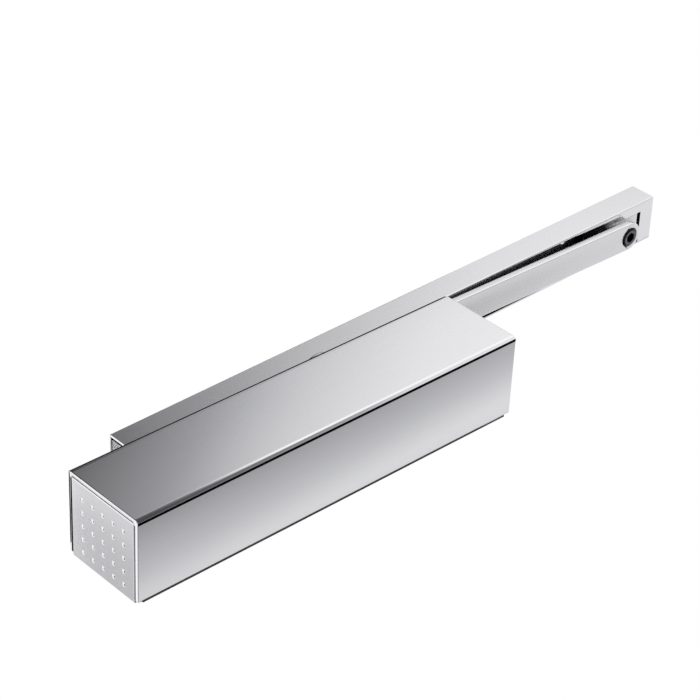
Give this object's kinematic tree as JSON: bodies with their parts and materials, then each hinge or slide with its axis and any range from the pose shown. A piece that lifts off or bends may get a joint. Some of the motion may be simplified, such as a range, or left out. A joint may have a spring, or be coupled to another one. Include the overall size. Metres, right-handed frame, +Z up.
{
  "type": "overhead door closer",
  "caption": "Overhead door closer with a slide channel: a slim silver box body on the door, and an arm that turns on its spindle and runs in the channel above.",
  "frame": {"origin": "middle of the four door screws, on the door's face", "axes": "+X along the door's width towards the arm's end, +Y into the door, +Z up; the closer stands out towards -Y"},
  "size_m": [0.4961, 0.056, 0.0952],
  "materials": {
    "cover_satin_silver": "satin anodised, fine grain",
    "end_cap_satin_silver": "satin anodised",
    "arm_steel": "satin plated",
    "channel_satin_silver": "satin anodised",
    "channel_cap": "satin",
    "cast_housing": "cast, lightly blasted",
    "blackened_plate": "steel, black phosphated",
    "turned_plug": "turned",
    "seal_rubber": "matt black",
    "bearing_bronze": "turned bronze",
    "zinc_screw": "zinc plated",
    "black_screw": "black oxide",
    "spring_steel": "oiled spring steel",
    "turned_steel": "ground",
    "hardened_steel": "hardened and ground",
    "valve_brass": "turned brass",
    "slider_plastic": "moulded, pale grey"
  },
  "bodies": {
    "closer": {"mounting_plate": "blackened_plate", "housing": "cast_housing", "spring_end_plug": "turned_plug", "damping_end_plug": "turned_plug", "plug_seals": "seal_rubber", "upper_bush": "bearing_bronze", "lower_bush": "bearing_bronze", "spindle_seal": "seal_rubber", "bush_cap": "turned_plug", "lower_bore_plug": "turned_plug", "body_screws": "zinc_screw", "cover_clips": "spring_steel", "main_spring": "spring_steel", "light_spring": "spring_steel", "valve_seals": "seal_rubber"},
    "cover": {"cover_shell": "cover_satin_silver", "end_cap_left": "end_cap_satin_silver", "end_cap_right": "end_cap_satin_silver"},
    "swing_arm": {"spindle": "hardened_steel", "cam": "hardened_steel", "arm": "arm_steel", "hub_screw": "zinc_screw", "pivot_screw": "black_screw", "pivot_bush": "bearing_bronze"},
    "spring_side_piston": {"spring_piston": "turned_steel", "spring_roller_pin": "hardened_steel"},
    "spring_side_roller": {"spring_roller": "hardened_steel"},
    "damping_side_piston": {"damping_piston": "turned_steel", "damping_roller_pin": "hardened_steel", "check_valve": "valve_brass"},
    "damping_side_roller": {"damping_roller": "hardened_steel"},
    "seat": {"spring_seat": "turned_steel"},
    "adjuster": {"adjusting_screw": "zinc_screw"},
    "closing_speed": {"closing_valve": "valve_brass"},
    "latching_speed": {"latching_valve": "valve_brass"},
    "backcheck": {"backcheck_valve": "valve_brass"},
    "delay": {"delay_valve": "valve_brass"},
    "slider": {"slider_block": "slider_plastic"},
    "channel": {"slide_channel": "channel_satin_silver", "channel_cap_left": "channel_cap", "channel_cap_right": "channel_cap"}
  },
  "joints": [
    {"name": "arm_swing", "type": "hinge", "parent": "closer", "child": "swing_arm", "pos_m": [0.05, -0.0308, 0], "axis": [0, 0, 1], "range_deg": [0, 150], "stiffness_Nm_per_rad": 6, "springref_deg": -17.19},
    {"name": "spring_piston_slide", "type": "slide", "parent": "closer", "child": "spring_side_piston", "axis": [-1, 0, 0], "range_m": [0, 0.00769], "deforming": ["main_spring"]},
    {"name": "damping_piston_slide", "type": "slide", "parent": "closer", "child": "damping_side_piston", "axis": [-1, 0, 0], "range_m": [0, 0.00769], "deforming": ["light_spring"]},
    {"name": "spring_roller_spin", "type": "hinge", "parent": "spring_side_piston", "child": "spring_side_roller", "pos_m": [0.0362, -0.0308, 0], "axis": [0, 0, 1], "continuous": true},
    {"name": "damping_roller_spin", "type": "hinge", "parent": "damping_side_piston", "child": "damping_side_roller", "pos_m": [0.073, -0.0308, 0], "axis": [0, 0, 1], "continuous": true},
    {"name": "spring_force_turn", "type": "hinge", "parent": "closer", "child": "adjuster", "pos_m": [-0.125, -0.0308, 0], "axis": [1, 0, 0], "range_deg": [0, 1800]},
    {"name": "spring_seat_slide", "type": "slide", "parent": "closer", "child": "seat", "axis": [1, 0, 0], "range_m": [0, 0.01], "deforming": ["main_spring"]},
    {"name": "closing_valve_turn", "type": "hinge", "parent": "closer", "child": "closing_speed", "pos_m": [0.084, -0.053, 0.0223], "axis": [0, -1, 0], "range_deg": [0, 720]},
    {"name": "latching_valve_turn", "type": "hinge", "parent": "closer", "child": "latching_speed", "pos_m": [0.099, -0.053, 0.0223], "axis": [0, -1, 0], "range_deg": [0, 720]},
    {"name": "backcheck_valve_turn", "type": "hinge", "parent": "closer", "child": "backcheck", "pos_m": [0.084, -0.053, -0.0223], "axis": [0, -1, 0], "range_deg": [0, 720]},
    {"name": "delay_valve_turn", "type": "hinge", "parent": "closer", "child": "delay", "pos_m": [0.099, -0.053, -0.0223], "axis": [0, -1, 0], "range_deg": [0, 720]},
    {"name": "cover_off", "type": "slide", "parent": "closer", "child": "cover", "axis": [0, -1, 0], "range_m": [0, 0.07]},
    {"name": "slider_pivot", "type": "hinge", "parent": "swing_arm", "child": "slider", "pos_m": [0.32265, -0.0258, 0.0465], "axis": [0, 0, 1], "range_deg": [-90, 90]},
    {"name": "channel_slide", "type": "slide", "parent": "slider", "child": "channel", "axis": [0.9999, -0.0159, 0], "range_m": [0, 0.375]}
  ],
  "couplings": [
    {"joint": "spring_piston_slide", "follows": "arm_swing", "m_per_rad": 0.0029285},
    {"joint": "damping_piston_slide", "follows": "arm_swing", "m_per_rad": 0.0029285},
    {"joint": "spring_force_turn", "follows": "spring_seat_slide", "rad_per_m": 3141.5}
  ]
}
